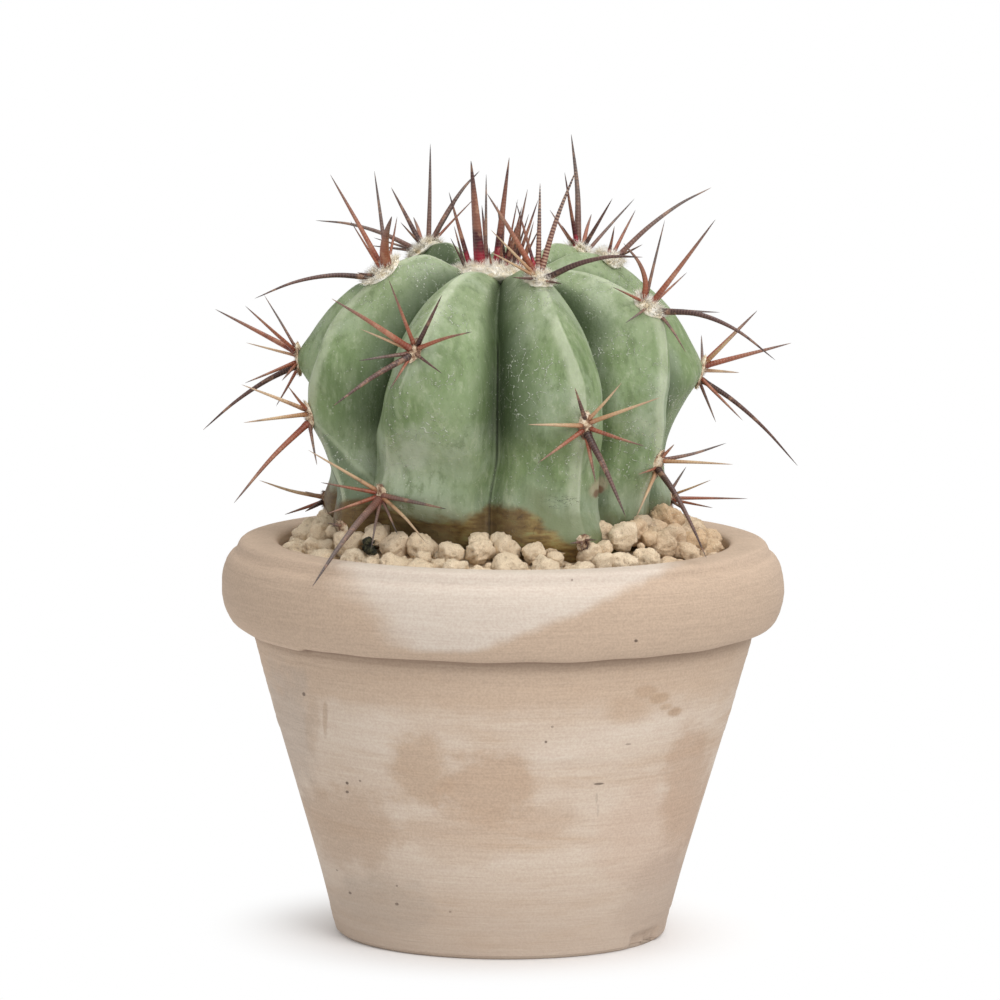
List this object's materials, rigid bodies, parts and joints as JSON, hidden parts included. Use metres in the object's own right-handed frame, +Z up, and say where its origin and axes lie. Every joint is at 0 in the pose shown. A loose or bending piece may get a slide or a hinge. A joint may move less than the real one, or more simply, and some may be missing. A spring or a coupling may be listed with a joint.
{
  "type": "potted barrel cactus",
  "caption": "Round ribbed cactus with woolly areoles and long spines, standing in gravel in a tapered clay pot with a rolled rim.",
  "frame": {"origin": "middle of the pot's foot, on the surface it stands on", "axes": "+Z up along the pot's axis; the front of the plant, as in the picture, looks along -Y; +X is to the viewer's right"},
  "size_m": [0.1707, 0.1616, 0.2259],
  "materials": {
    "terracotta": "unglazed matte clay with throwing lines",
    "potting_soil": "dark loose potting soil",
    "pumice_gravel": "rough porous beige pumice",
    "stem_skin": "matte waxy green skin with a pale bloom",
    "spines_and_felt": "hard horny spines, red brown to straw, in cream felt"
  },
  "bodies": {
    "root": {"pot": "terracotta", "soil": "potting_soil", "gravel": "pumice_gravel", "stem": "stem_skin", "crown": "spines_and_felt", "areole_rib1_a": "spines_and_felt", "areole_rib1_b": "spines_and_felt", "areole_rib2_a": "spines_and_felt", "areole_rib2_b": "spines_and_felt", "areole_rib2_c": "spines_and_felt", "areole_rib3_a": "spines_and_felt", "areole_rib3_b": "spines_and_felt", "areole_rib4_a": "spines_and_felt", "areole_rib4_b": "spines_and_felt", "areole_rib4_c": "spines_and_felt", "areole_rib5_a": "spines_and_felt", "areole_rib5_b": "spines_and_felt", "areole_rib5_c": "spines_and_felt", "areole_rib6_a": "spines_and_felt", "areole_rib6_b": "spines_and_felt", "areole_rib7_a": "spines_and_felt", "areole_rib7_b": "spines_and_felt", "areole_rib7_c": "spines_and_felt", "areole_rib8_a": "spines_and_felt", "areole_rib8_b": "spines_and_felt", "areole_rib9_a": "spines_and_felt", "areole_rib9_b": "spines_and_felt", "areole_rib9_c": "spines_and_felt"}
  },
  "joints": []
}
